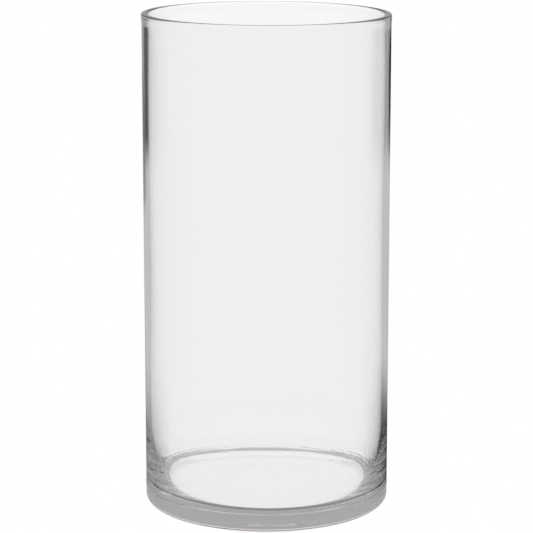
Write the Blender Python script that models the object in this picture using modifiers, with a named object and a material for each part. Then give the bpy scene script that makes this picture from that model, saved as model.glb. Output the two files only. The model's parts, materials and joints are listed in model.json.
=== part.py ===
"""A clear glass cylinder vase: one piece of mould-blown glass, turned from one profile.

Units are metres, +Z is up, and the origin is the centre of the foot, on the surface that
the vase stands on. The glass is a single solid because the real vase is a single piece:
wall, base and rim are formed together, and nothing on it comes off or moves.
"""

import math

import bpy

# Driving dimensions.
HEIGHT = 0.3045
OUTER_RADIUS = 0.0755
WALL = 0.0038
BASE_THICKNESS = 0.0123

# Details of the profile.
WALL_SWELL = 0.0062         # how much thicker the wall is where it meets the floor
WALL_SWELL_HEIGHT = 0.0380  # height over which the wall thins out to its full bore
LIP_WIDTH = 0.0022          # outer band of the floor, which turns up towards the wall
LIP_RISE = 0.0011           # how far that band turns up
HEEL_RADIUS = 0.0045        # outside corner, between the wall and the foot
FOOT_RING_WIDTH = 0.0200    # flat ring that the vase stands on
PUSH_UP = 0.0003            # rise of the underside at its centre
RIM_BEAD = 0.0003           # how far the polished rim stands proud of the wall
RIM_BEAD_LENGTH = 0.0050    # length of wall over which the bead fades out
RIM_ROUND = 0.0011          # rounding of the rim's two edges

# Fineness of the mesh.
FLATS_AROUND = 96
ARC_STEPS = 6               # steps along each rounded corner
SWELL_STEPS = 10            # steps up the thickened foot of the inner wall
SOFT_STEPS = 5              # steps along the floor's lip, the bead and the push-up
AXIS_MERGE = 0.00005        # closes the profile's two ends on the axis

# Clear, neutral soda-lime glass.
GLASS_COLOUR = (0.96, 0.96, 0.96, 1.0)
GLASS_ROUGHNESS = 0.02
GLASS_IOR = 1.52

# Radii that follow from the driving dimensions.
INNER_RADIUS = OUTER_RADIUS - WALL
RIM_RADIUS = OUTER_RADIUS + RIM_BEAD
FOOT_OUTER_RADIUS = OUTER_RADIUS - HEEL_RADIUS
FOOT_INNER_RADIUS = FOOT_OUTER_RADIUS - FOOT_RING_WIDTH
SWELL_RADIUS = INNER_RADIUS - WALL_SWELL
FLOOR_RADIUS = SWELL_RADIUS - LIP_WIDTH


def clear_scene():
    """Removes every object, so that the vase is alone in the scene."""
    for obj in list(bpy.data.objects):
        bpy.data.objects.remove(obj)


def arc(centre, radius, start, end):
    """Profile points (radius, height) along an arc that runs between two angles in degrees."""
    points = []
    for step in range(ARC_STEPS + 1):
        angle = math.radians(start + (end - start) * step / ARC_STEPS)
        points.append((centre[0] + radius * math.cos(angle), centre[1] + radius * math.sin(angle)))
    return points


def fade(share):
    """A soft fall from 1 to 0 as share goes from 0 to 1."""
    return (1 + math.cos(math.pi * share)) / 2


def inside():
    """The flat floor, its upturned lip, and the wall's thick foot, a tall quarter of an ellipse."""
    points = [(0.0, BASE_THICKNESS)]
    for step in range(SOFT_STEPS):
        share = step / SOFT_STEPS
        points.append((FLOOR_RADIUS + LIP_WIDTH * share, BASE_THICKNESS + LIP_RISE * share ** 2))
    swell_top = BASE_THICKNESS + LIP_RISE + WALL_SWELL_HEIGHT
    for step in range(SWELL_STEPS + 1):
        angle = math.radians(90 * step / SWELL_STEPS)
        radius = SWELL_RADIUS + WALL_SWELL * math.sin(angle)
        points.append((radius, swell_top - WALL_SWELL_HEIGHT * math.cos(angle)))
    return points


def rim():
    """The flat rim with its two rounded edges, then the bead that fades into the outer wall."""
    top = HEIGHT - RIM_ROUND
    points = arc((INNER_RADIUS + RIM_ROUND, top), RIM_ROUND, 180, 90)
    points += arc((RIM_RADIUS - RIM_ROUND, top), RIM_ROUND, 90, 0)
    for step in range(1, SOFT_STEPS + 1):
        share = step / SOFT_STEPS
        points.append((OUTER_RADIUS + RIM_BEAD * fade(share), top - RIM_BEAD_LENGTH * share))
    return points


def underside():
    """The rounded heel, the flat foot ring, and the shallow push-up that ends on the axis."""
    points = arc((FOOT_OUTER_RADIUS, HEEL_RADIUS), HEEL_RADIUS, 0, -90)
    points.append((FOOT_INNER_RADIUS, 0.0))
    for step in range(1, SOFT_STEPS + 1):
        share = step / SOFT_STEPS
        points.append((FOOT_INNER_RADIUS * (1 - share), PUSH_UP * (1 - fade(share))))
    return points


def clear_glass():
    """The glass, as a Principled material."""
    material = bpy.data.materials.new("clear_glass")
    material.use_nodes = True
    shader = material.node_tree.nodes["Principled BSDF"]
    shader.inputs["Base Color"].default_value = GLASS_COLOUR
    shader.inputs["Metallic"].default_value = 0.0
    shader.inputs["Roughness"].default_value = GLASS_ROUGHNESS
    shader.inputs["IOR"].default_value = GLASS_IOR
    shader.inputs["Transmission Weight"].default_value = 1.0
    return material


def turned(name, profile, collection):
    """An object made by turning a profile round the Z axis."""
    mesh = bpy.data.meshes.new(name)
    points = [(radius, 0.0, height) for radius, height in profile]
    edges = [(index, index + 1) for index in range(len(points) - 1)]
    mesh.from_pydata(points, edges, [])
    obj = bpy.data.objects.new(name, mesh)
    collection.objects.link(obj)
    screw = obj.modifiers.new("turn", "SCREW")
    screw.axis = "Z"
    screw.angle = math.tau
    screw.steps = FLATS_AROUND
    screw.render_steps = FLATS_AROUND
    screw.use_merge_vertices = True
    screw.merge_threshold = AXIS_MERGE
    screw.use_smooth_shade = True
    return obj


def main():
    clear_scene()
    collection = bpy.data.collections.new("glass_cylinder_vase")
    bpy.context.scene.collection.children.link(collection)
    vase = turned("glass_cylinder", inside() + rim() + underside(), collection)
    vase.data.materials.append(clear_glass())


main()
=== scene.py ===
"""Looks for the glass cylinder vase: fine uneven glass, a pale floor, a soft studio and a camera.

The vase is one piece of glass, so one fine mesh stands for the CAD solid. It follows the same
turned profile, and adds what real moulded glass has: chill ripples low on the wall, the line of
the mould's seam, a bore and a floor that aren't quite even, a rim that dips a little to one side
and a cut-off mark on the floor.

The studio is white, with dark boards that only reflections in the glass see. They line the
vase's edges and shade its thick base, as a glass photographer's boards do.
"""

import json
import math

import bpy
import numpy as np
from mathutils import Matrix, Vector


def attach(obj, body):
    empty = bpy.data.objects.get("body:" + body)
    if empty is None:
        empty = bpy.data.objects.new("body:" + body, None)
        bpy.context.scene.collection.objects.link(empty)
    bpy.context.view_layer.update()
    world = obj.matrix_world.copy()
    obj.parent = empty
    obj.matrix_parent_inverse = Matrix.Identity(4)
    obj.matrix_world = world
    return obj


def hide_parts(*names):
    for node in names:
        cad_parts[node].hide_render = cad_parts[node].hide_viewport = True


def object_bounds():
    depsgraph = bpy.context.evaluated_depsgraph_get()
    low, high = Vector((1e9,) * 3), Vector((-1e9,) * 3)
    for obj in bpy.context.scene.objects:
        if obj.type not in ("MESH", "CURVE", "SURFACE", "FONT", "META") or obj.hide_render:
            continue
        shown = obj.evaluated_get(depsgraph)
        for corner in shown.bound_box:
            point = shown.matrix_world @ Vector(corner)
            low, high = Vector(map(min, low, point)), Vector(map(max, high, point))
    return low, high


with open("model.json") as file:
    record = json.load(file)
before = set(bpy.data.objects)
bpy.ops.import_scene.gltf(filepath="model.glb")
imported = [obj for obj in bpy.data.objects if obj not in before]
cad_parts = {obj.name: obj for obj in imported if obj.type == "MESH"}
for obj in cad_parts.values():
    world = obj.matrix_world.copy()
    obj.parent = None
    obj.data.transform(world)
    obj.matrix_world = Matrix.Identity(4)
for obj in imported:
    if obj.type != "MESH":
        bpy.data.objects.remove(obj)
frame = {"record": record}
cad_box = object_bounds()

# Driving sizes in metres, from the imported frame.
MOUNTS = {mount["name"]: mount["pos_m"] for mount in frame["record"]["mounts"]}
HEIGHT = MOUNTS["rim"][2]
BASE_THICKNESS = MOUNTS["inside_floor"][2]
FOOT_MIDDLE = -MOUNTS["foot"][1]
RIM_RADIUS = cad_box[1].x
INNER_RADIUS = 2 * MOUNTS["rim"][0] - RIM_RADIUS

# Details of the profile, as in the CAD solid but for the shallower push-up.
RIM_BEAD = 0.0003
RIM_BEAD_LENGTH = 0.0050
RIM_ROUND = 0.0011
HEEL_RADIUS = 0.0045
PUSH_UP = 0.0001                    # the CAD solid has 0.0003
WALL_SWELL = 0.0062
WALL_SWELL_HEIGHT = 0.0380
LIP_WIDTH = 0.0022
LIP_RISE = 0.0011
OUTER_RADIUS = RIM_RADIUS - RIM_BEAD
FOOT_OUTER_RADIUS = OUTER_RADIUS - HEEL_RADIUS
FOOT_INNER_RADIUS = 2 * FOOT_MIDDLE - FOOT_OUTER_RADIUS
SWELL_RADIUS = INNER_RADIUS - WALL_SWELL
FLOOR_RADIUS = SWELL_RADIUS - LIP_WIDTH
SWELL_TOP = BASE_THICKNESS + LIP_RISE + WALL_SWELL_HEIGHT
RIM_SPRING = HEIGHT - RIM_ROUND     # height where the rim's rounding starts

# How uneven the glass is. Each wave is (share, folds round the vase, length up it, shift).
FLOOR_SLOPE = (-0.008, 0.012)       # slope of the floor along X and Y
FLOOR_SLOPE_REACH = 0.0440          # height over the floor where the slope has gone
FLOOR_SLOPE_FULL = 0.2              # share of that height where it starts to go
RIM_DIP = 0.0005                    # how much lower the rim is at +X than at -X
RIM_DIP_REACH = 0.0300              # length of wall below the rim that dips with it
BORE_WAVES = ((1.0, 2, 0.21, 0.0), (0.7, 5, -0.33, 0.2), (0.5, 11, 0.17, 0.0))
WAVE_DEPTH = 0.00005                # slow swell of the bore, round it and along it
WAVE_START = 0.0500                 # height over the floor where it has its full depth
WAVE_FOOT = 0.4                     # share of that height where it begins
RIPPLE_TOP = 0.0850                 # the chill ripples end at this height
RIPPLE_FULL = 0.3                   # share of that height where they start to fade
RIPPLE_FOOT = 2.5                   # heel radii above the ground where they are at their fullest
RIPPLE_PITCH = 0.0036
RIPPLE_DEPTH = 0.000009
RIPPLE_SHARPNESS = 3                # a higher power makes narrower creases
RIPPLE_DRIFT = ((0.35, 3, 0.031, 0.0), (0.20, 7, -0.019, 0.0))
RIPPLE_PATCHES = ((0.30, 5, 0.013, 0.0),)
SEAM_HEIGHT = 0.0113                # the mould's base plate meets its wall here
SEAM_WIDTH = 0.0014
SEAM_DEPTH = 0.00020
SCAR_RADIUS = 0.0080                # cut-off mark at the middle of the floor
SCAR_DEPTH = 0.00003
SCAR_FLAT = 0.4                     # share of its radius that is at full depth

# Fineness of the mesh.
TURNS = 192                         # points round each ring
FLOOR_RINGS = 10
SCAR_RINGS = 8
LIP_RINGS = 12
SWELL_RINGS = 24
BORE_RINGS = 60
ROUND_RINGS = 6
WALL_RINGS = 40
RIPPLE_RINGS = 200
SEAM_RINGS = 16
HEEL_RINGS = 12
FOOT_RINGS = 4                      # on the flat ring, inside the heel
PUSH_UP_RINGS = 12

# The glass.
GLASS_TINT = 0.955                  # share of light that passes both faces of a wall
GLASS_IOR = 1.52
DEPTH_TINT = 0.9
DEPTH_DENSITY = 15.0                # of the grey in the depth of the glass, to the metre
FOOT_WEAR = 0.08                    # roughness of the deepest scuffs
WORN_HEIGHT = (0.00002, 0.00010)    # the scuffs fade out between these heights
SCUFF_SCALE = 900.0
SCUFF_DETAIL = 4.0
SCUFF_SPREAD = (0.45, 0.65)         # noise values where the scuffs begin and are deepest
SKIN_SCALE = 70.0
SKIN_DETAIL = 2.0
SKIN_DEPTH = 0.000001

# The studio's shades, where 1 is white. But for the last, only reflected light sees them.
FAR_SHADE = 1.12                    # behind reflections in the far wall and the floor of the vase
PLAIN_SHADE = 0.50                  # behind all others, where no board stands
UNDER_SHADE = 0.20                  # painted shadow on the table under the vase, seen only in reflections
UPPER_SHADES = (0.33, 0.02)         # between and on the upper boards
MIDDLE_SHADES = (0.30, 0.55)        # straight behind the vase and off to the sides
LOWER_SHADES = (0.05, 0.28)         # on and between the lower boards
RIGHT_LOWER_SHARE = 0.35            # the lower shades are cut to this share to the right
HEEL_SHADE = 0.45                   # painted shadow ring round the foot, seen through the glass and not reflected

# Where the boards stand. Each pair is a soft edge, in the direction that a ray goes in.
UPPER_TOP = (-0.09, -0.08)          # heights, as the Z of that direction
UPPER_FOOT = (-0.170, -0.148)
LOWER_TOP = (-0.275, -0.240)
WHITE_ABOVE = (0.35, 0.50)
BEHIND = (0.2, 0.6)                 # its Y: no board stands beside or before the vase
RIGHT_LOWER = (0.02, 0.25)          # its X
MIDDLE_SPREAD = (0.0, 0.30)         # its X, to either side
UPPER_BOARDS = (8.0, 15.5)          # peaks of a wave all round, and one peak's degrees from +Y
UPPER_EDGES = (0.25, 0.75)          # the boards' soft edges: these boards stand at the peaks
LOWER_BOARDS = (4.0, 67.5)          # these stand between the peaks
LOWER_EDGES = (-0.5, 0.5)

# The staged floor, and edges on it as distances from the vase's axis.
STAGE_RADIUS = 1.6
STAGE_SIDES = 128
STAGE_DROP = 0.0004                 # gap between the foot and the staged floor
# Edges of the painted shadow under the vase and of the painted shadow ring round the foot.
UNDER_EDGE = (0.068, 0.078)
HEEL_RING_INNER = (0.068, 0.071)
HEEL_RING_OUTER = (0.076, 0.080)
TABLE_EDGE = (0.078, 0.100)         # the near wall's reflections look past the table from here

# How often a ray was reflected or transmitted, as the Light Path node counts it.
AT_LEAST_ONCE = 0.5                 # a count above this is one or more
NEAR_WALL = 2.5                     # a ray that only met the near wall was transmitted less often

# The camera.
CAMERA_PLACE = (0.0, -1.4066, 0.4433)
CAMERA_PITCH = 11.87                # degrees below level
CAMERA_LENS = 157.2                 # millimetres, on a sensor 36 mm wide


def stretch(start, end, rings):
    """Profile points (radius, height) from start up to, but not including, end."""
    return [tuple(start[axis] + (end[axis] - start[axis]) * ring / rings for axis in (0, 1))
            for ring in range(rings)]


def arc(centre, width, height, start, end, rings):
    """Profile points along part of an ellipse, between two angles in degrees."""
    points = []
    for ring in range(rings + 1):
        angle = math.radians(start + (end - start) * ring / rings)
        points.append((centre[0] + width * math.cos(angle), centre[1] + height * math.sin(angle)))
    return points


def fade(share):
    """A soft fall from 1 to 0 as share goes from 0 to 1."""
    return (1 + math.cos(math.pi * share)) / 2


def inside():
    """The floor, its upturned lip, the wall's thick foot and the bore, from the axis outwards."""
    points = stretch((0.0, BASE_THICKNESS), (SCAR_RADIUS, BASE_THICKNESS), SCAR_RINGS)[1:]
    points += stretch((SCAR_RADIUS, BASE_THICKNESS), (FLOOR_RADIUS, BASE_THICKNESS), FLOOR_RINGS)
    for ring in range(LIP_RINGS):
        share = ring / LIP_RINGS
        points.append((FLOOR_RADIUS + LIP_WIDTH * share, BASE_THICKNESS + LIP_RISE * share ** 2))
    points += arc((SWELL_RADIUS, SWELL_TOP), WALL_SWELL, WALL_SWELL_HEIGHT, -90, 0, SWELL_RINGS)
    points += stretch((INNER_RADIUS, SWELL_TOP), (INNER_RADIUS, RIM_SPRING), BORE_RINGS)[1:]
    points += arc((INNER_RADIUS + RIM_ROUND, RIM_SPRING), RIM_ROUND, RIM_ROUND, 180, 90, ROUND_RINGS)
    return points


def outside():
    """The rim's outer edge, its bead, the wall, the heel and the underside, down to the axis."""
    points = arc((RIM_RADIUS - RIM_ROUND, RIM_SPRING), RIM_ROUND, RIM_ROUND, 90, 0, ROUND_RINGS)
    bead_end = RIM_SPRING - RIM_BEAD_LENGTH
    for ring in range(1, ROUND_RINGS):
        share = ring / ROUND_RINGS
        points.append((OUTER_RADIUS + RIM_BEAD * fade(share), RIM_SPRING - RIM_BEAD_LENGTH * share))
    points += stretch((OUTER_RADIUS, bead_end), (OUTER_RADIUS, RIPPLE_TOP), WALL_RINGS)
    seam_top = SEAM_HEIGHT + SEAM_WIDTH
    seam_foot = SEAM_HEIGHT - SEAM_WIDTH
    points += stretch((OUTER_RADIUS, RIPPLE_TOP), (OUTER_RADIUS, seam_top), RIPPLE_RINGS)
    points += stretch((OUTER_RADIUS, seam_top), (OUTER_RADIUS, seam_foot), SEAM_RINGS)
    points += stretch((OUTER_RADIUS, seam_foot), (OUTER_RADIUS, HEEL_RADIUS), HEEL_RINGS)
    points += arc((FOOT_OUTER_RADIUS, HEEL_RADIUS), HEEL_RADIUS, HEEL_RADIUS, 0, -90, HEEL_RINGS)
    points += stretch((FOOT_OUTER_RADIUS, 0.0), (FOOT_INNER_RADIUS, 0.0), FOOT_RINGS)[1:]
    for ring in range(PUSH_UP_RINGS):
        share = ring / PUSH_UP_RINGS
        points.append((FOOT_INNER_RADIUS * (1 - share), PUSH_UP * (1 - fade(share))))
    return points


def soft_step(value, low, high):
    """A smooth rise from 0 at low to 1 at high."""
    share = np.clip((value - low) / (high - low), 0, 1)
    return share * share * (3 - 2 * share)


def waves(turn, height, parts):
    """A sum of sine waves that go round the vase and up it."""
    return sum(share * np.sin(math.tau * (folds * turn + height / length + shift))
               for share, folds, length, shift in parts)


def ripples(turn, height):
    """Chill ripples: shallow creases round the outer wall, which fade out above RIPPLE_FULL."""
    phase = height / RIPPLE_PITCH + waves(turn, height, RIPPLE_DRIFT)
    crease = (0.5 + 0.5 * np.cos(math.tau * phase)) ** RIPPLE_SHARPNESS
    patchy = 1 - sum(part[0] for part in RIPPLE_PATCHES) + waves(turn, height, RIPPLE_PATCHES)
    high = 1 - soft_step(height, RIPPLE_FULL * RIPPLE_TOP, RIPPLE_TOP)
    low = soft_step(height, HEEL_RADIUS, RIPPLE_FOOT * HEEL_RADIUS)
    return -RIPPLE_DEPTH * crease * patchy * high * low


def mould_seam(height):
    """The fine raised line round the outer wall where the mould's two parts met."""
    return SEAM_DEPTH * np.exp(-((height - SEAM_HEIGHT) / (SEAM_WIDTH / 2)) ** 2)


def bore_waves(turn, height):
    """The bore's slow waves, which die out towards the floor and the rim."""
    low = soft_step(height, BASE_THICKNESS + WAVE_FOOT * WAVE_START, BASE_THICKNESS + WAVE_START)
    high = 1 - soft_step(height, HEIGHT - RIM_DIP_REACH, RIM_SPRING - RIM_ROUND)
    return WAVE_DEPTH * waves(turn, height, BORE_WAVES) * low * high


def make_uneven(points, is_inside):
    """Moves the points of a perfect vase to where uneven glass has them."""
    x, y, height = points.T.copy()
    radius = np.hypot(x, y)
    turn = np.arctan2(y, x) / math.tau
    on_wall = ~is_inside & (radius > OUTER_RADIUS - RIM_BEAD)
    push = bore_waves(turn, height) * is_inside
    push += (ripples(turn, height) + mould_seam(height)) * on_wall
    points[:, 0] += x / radius * push
    points[:, 1] += y / radius * push
    slope = FLOOR_SLOPE[0] * x + FLOOR_SLOPE[1] * y
    fade_start = BASE_THICKNESS + FLOOR_SLOPE_FULL * FLOOR_SLOPE_REACH
    near_floor = 1 - soft_step(height, fade_start, BASE_THICKNESS + FLOOR_SLOPE_REACH)
    scar = SCAR_DEPTH * (1 - soft_step(radius, SCAR_FLAT * SCAR_RADIUS, SCAR_RADIUS))
    points[:, 2] += is_inside * near_floor * (slope - scar)
    near_rim = np.clip((height - HEIGHT + RIM_DIP_REACH) / RIM_DIP_REACH, 0, 1) ** 2
    points[:, 2] -= near_rim * RIM_DIP * (1 + x / RIM_RADIUS) / 2


def glass_faces(rings):
    """Quads between each two rings, and a fan of triangles round each end of the axis."""
    faces = []
    floor_centre = rings * TURNS
    foot_centre = floor_centre + 1
    last = (rings - 1) * TURNS
    for here in range(TURNS):
        after = (here + 1) % TURNS
        for low in range(0, last, TURNS):
            high = low + TURNS
            faces.append((low + here, high + here, high + after, low + after))
        faces.append((floor_centre, here, after))
        faces.append((foot_centre, last + after, last + here))
    return faces


def vase_glass():
    """The whole vase, turned from its profile and then made uneven."""
    inner = inside()
    profile = np.array(inner + outside())
    angles = np.arange(TURNS) * math.tau / TURNS
    circle = np.stack([np.cos(angles), np.sin(angles)], axis=1)
    flat = profile[:, None, :1] * circle[None]
    heights = np.broadcast_to(profile[:, None, 1:], (len(profile), TURNS, 1))
    points = np.concatenate([flat, heights], axis=2).reshape(-1, 3)
    make_uneven(points, np.repeat(np.arange(len(profile)) < len(inner), TURNS))
    centres = [[0.0, 0.0, BASE_THICKNESS - SCAR_DEPTH], [0.0, 0.0, PUSH_UP]]
    mesh = bpy.data.meshes.new("vase_glass")
    mesh.from_pydata(points.tolist() + centres, [], glass_faces(len(profile)))
    mesh.shade_smooth()
    piece = bpy.data.objects.new("vase_glass", mesh)
    bpy.context.collection.objects.link(piece)
    return piece


def put(tree, value, socket):
    """Sets a socket to a number, or links another node's output to it."""
    if isinstance(value, (int, float)):
        socket.default_value = value
    else:
        tree.links.new(value, socket)


def calculate(tree, operation, first, second=0.0, third=0.0):
    """A Math node's output."""
    node = tree.nodes.new("ShaderNodeMath")
    node.operation = operation
    for socket, value in zip(node.inputs, (first, second, third)):
        put(tree, value, socket)
    return node.outputs[0]


def mix(tree, share, low, high):
    """A value that goes from low to high as share goes from 0 to 1."""
    node = tree.nodes.new("ShaderNodeMix")
    node.data_type = "FLOAT"
    for socket, value in zip((node.inputs[0], node.inputs[2], node.inputs[3]), (share, low, high)):
        put(tree, value, socket)
    return node.outputs[0]


def ramp(tree, value, low, high, to_low=0.0, to_high=1.0):
    """A smooth change from to_low to to_high as value goes from low to high."""
    node = tree.nodes.new("ShaderNodeMapRange")
    node.interpolation_type = "SMOOTHSTEP"
    names = ("Value", "From Min", "From Max", "To Min", "To Max")
    for name, number in zip(names, (value, low, high, to_low, to_high)):
        put(tree, number, node.inputs[name])
    return node.outputs[0]


def noise(tree, coordinates, scale, detail):
    """A noise pattern's value, with `scale` repeats to the metre."""
    node = tree.nodes.new("ShaderNodeTexNoise")
    tree.links.new(coordinates, node.inputs["Vector"])
    node.inputs["Scale"].default_value = scale
    node.inputs["Detail"].default_value = detail
    return node.outputs["Fac"]


def split(tree, vector):
    """The X, Y and Z of a vector."""
    node = tree.nodes.new("ShaderNodeSeparateXYZ")
    tree.links.new(vector, node.inputs[0])
    return node.outputs["X"], node.outputs["Y"], node.outputs["Z"]


def grey(value):
    """A neutral colour."""
    return (value, value, value, 1.0)


def clear_glass():
    """Clear soda-lime glass: a faint grey in its depth, a soft skin and a foot worn by use."""
    material = bpy.data.materials.new("clear_glass")
    material.use_nodes = True
    tree = material.node_tree
    shader = tree.nodes["Principled BSDF"]
    shader.inputs["Base Color"].default_value = grey(GLASS_TINT)
    shader.inputs["IOR"].default_value = GLASS_IOR
    shader.inputs["Transmission Weight"].default_value = 1.0
    place = tree.nodes.new("ShaderNodeTexCoord").outputs["Object"]
    # Only the ring that touches the table is scuffed.
    on_foot = ramp(tree, split(tree, place)[2], *WORN_HEIGHT, 1.0, 0.0)
    scuffs = ramp(tree, noise(tree, place, SCUFF_SCALE, SCUFF_DETAIL), *SCUFF_SPREAD, 0.0, FOOT_WEAR)
    put(tree, calculate(tree, "MULTIPLY", on_foot, scuffs), shader.inputs["Roughness"])
    # The skin's faint unevenness, too shallow for the mesh.
    bump = tree.nodes.new("ShaderNodeBump")
    bump.inputs["Strength"].default_value = 1.0
    bump.inputs["Distance"].default_value = SKIN_DEPTH
    put(tree, noise(tree, place, SKIN_SCALE, SKIN_DETAIL), bump.inputs["Height"])
    put(tree, bump.outputs["Normal"], shader.inputs["Normal"])
    depth = tree.nodes.new("ShaderNodeVolumeAbsorption")
    depth.inputs["Color"].default_value = grey(DEPTH_TINT)
    depth.inputs["Density"].default_value = DEPTH_DENSITY
    put(tree, depth.outputs[0], tree.nodes["Material Output"].inputs["Volume"])
    return material


def wave_around(tree, across, away, count, first):
    """A cosine wave round the vertical axis, with `count` peaks, one `first` degrees from +Y."""
    angle = calculate(tree, "ARCTAN2", across, away)
    turned = calculate(tree, "MULTIPLY_ADD", angle, count, -math.radians(first * count))
    return calculate(tree, "COSINE", turned)


def reflections(tree):
    """Tells light apart by its path, for the studio.

    The outputs are whether the glass has reflected it, whether that was once and in the near
    wall, and the plain shade for all the other reflected light.
    """
    path = tree.nodes.new("ShaderNodeLightPath")
    reflected = calculate(tree, "GREATER_THAN", path.outputs["Glossy Depth"], AT_LEAST_ONCE)
    once = calculate(tree, "COMPARE", path.outputs["Glossy Depth"], 1.0, 0.1)
    near_wall = calculate(tree, "LESS_THAN", path.outputs["Transmission Depth"], NEAR_WALL)
    skin = calculate(tree, "MULTIPLY", once, near_wall)
    rest = mix(tree, once, PLAIN_SHADE, FAR_SHADE)
    return reflected, skin, rest


def heel_shade(tree, radius):
    """White, with a painted shadow ring round the foot that is seen through the glass only."""
    path = tree.nodes.new("ShaderNodeLightPath")
    through = calculate(tree, "GREATER_THAN", path.outputs["Transmission Depth"], AT_LEAST_ONCE)
    inner = ramp(tree, radius, *HEEL_RING_INNER)
    outer = ramp(tree, radius, *HEEL_RING_OUTER, 1.0, 0.0)
    ring = calculate(tree, "MULTIPLY", inner, outer)
    return mix(tree, calculate(tree, "MULTIPLY", through, ring), 1.0, HEEL_SHADE)


def pale_floor():
    """A white light table with painted shadows: one under the vase, seen by reflected light, and a
    ring round the foot, seen through the glass. Beyond its middle the near wall's reflections look
    past it.
    """
    bpy.ops.mesh.primitive_circle_add(vertices=STAGE_SIDES, radius=STAGE_RADIUS, fill_type="NGON",
                                      location=(0.0, 0.0, -STAGE_DROP))
    floor = bpy.context.active_object
    floor.name = "floor"
    material = bpy.data.materials.new("pale_floor")
    material.use_nodes = True
    tree = material.node_tree
    tree.nodes.remove(tree.nodes["Principled BSDF"])
    length = tree.nodes.new("ShaderNodeVectorMath")
    length.operation = "LENGTH"
    put(tree, tree.nodes.new("ShaderNodeTexCoord").outputs["Object"], length.inputs[0])
    radius = length.outputs["Value"]
    reflected, skin, rest = reflections(tree)
    # Reflected light sees a painted shadow on the table under the vase, inside UNDER_EDGE.
    shade = mix(tree, skin, rest, ramp(tree, radius, *UNDER_EDGE, UNDER_SHADE, PLAIN_SHADE))
    emission = tree.nodes.new("ShaderNodeEmission")
    put(tree, mix(tree, reflected, heel_shade(tree, radius), shade), emission.inputs["Strength"])
    clear = tree.nodes.new("ShaderNodeBsdfTransparent")
    blend = tree.nodes.new("ShaderNodeMixShader")
    beyond = ramp(tree, radius, *TABLE_EDGE)
    put(tree, calculate(tree, "MULTIPLY", beyond, skin), blend.inputs[0])
    put(tree, emission.outputs[0], blend.inputs[1])
    put(tree, clear.outputs[0], blend.inputs[2])
    put(tree, blend.outputs[0], tree.nodes["Material Output"].inputs["Surface"])
    floor.data.materials.append(material)


def dark_boards(tree, direction):
    """The shades that the near wall's reflections see, from the lower boards up."""
    across, away, up = split(tree, direction)
    upper_wave = wave_around(tree, across, away, *UPPER_BOARDS)
    upper = ramp(tree, upper_wave, *UPPER_EDGES, *UPPER_SHADES)
    lower_wave = wave_around(tree, across, away, *LOWER_BOARDS)
    lower = ramp(tree, lower_wave, *LOWER_EDGES, *LOWER_SHADES)
    right = ramp(tree, across, *RIGHT_LOWER, 1.0, RIGHT_LOWER_SHARE)
    lower = calculate(tree, "MULTIPLY", right, lower)
    middle = ramp(tree, calculate(tree, "ABSOLUTE", across), *MIDDLE_SPREAD, *MIDDLE_SHADES)
    boards = mix(tree, ramp(tree, up, *LOWER_TOP), lower, middle)
    boards = mix(tree, ramp(tree, up, *UPPER_FOOT), boards, upper)
    boards = mix(tree, ramp(tree, up, *UPPER_TOP), boards, PLAIN_SHADE)
    return mix(tree, ramp(tree, away, *BEHIND), PLAIN_SHADE, boards)


def soft_studio():
    """A white studio. The near wall's reflections find dark boards in it, which line the glass."""
    world = bpy.data.worlds.new("studio")
    bpy.context.scene.world = world
    world.use_nodes = True
    tree = world.node_tree
    direction = tree.nodes.new("ShaderNodeTexCoord").outputs["Generated"]
    reflected, skin, rest = reflections(tree)
    seen = mix(tree, skin, rest, dark_boards(tree, direction))
    up = split(tree, direction)[2]
    seen = mix(tree, ramp(tree, up, *WHITE_ABOVE), seen, 1.0)
    background = tree.nodes["Background"]
    background.inputs["Color"].default_value = grey(1.0)
    put(tree, mix(tree, reflected, 1.0, seen), background.inputs["Strength"])


def studio_camera():
    """A long lens, a little above the rim, looking slightly down."""
    data = bpy.data.cameras.new("camera")
    data.lens = CAMERA_LENS
    camera = bpy.data.objects.new("camera", data)
    camera.location = CAMERA_PLACE
    camera.rotation_euler = (math.radians(90 - CAMERA_PITCH), 0.0, 0.0)
    bpy.context.collection.objects.link(camera)
    bpy.context.scene.camera = camera


def deep_light_paths():
    """Lets light bounce often enough inside the glass, and keeps white white."""
    scene = bpy.context.scene
    scene.view_settings.view_transform = "Standard"
    scene.cycles.max_bounces = 48
    scene.cycles.glossy_bounces = 24
    scene.cycles.transmission_bounces = 24


vase = vase_glass()
vase.data.materials.append(clear_glass())
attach(vase, "root")
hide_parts("glass_cylinder")
pale_floor()
soft_studio()
studio_camera()
deep_light_paths()
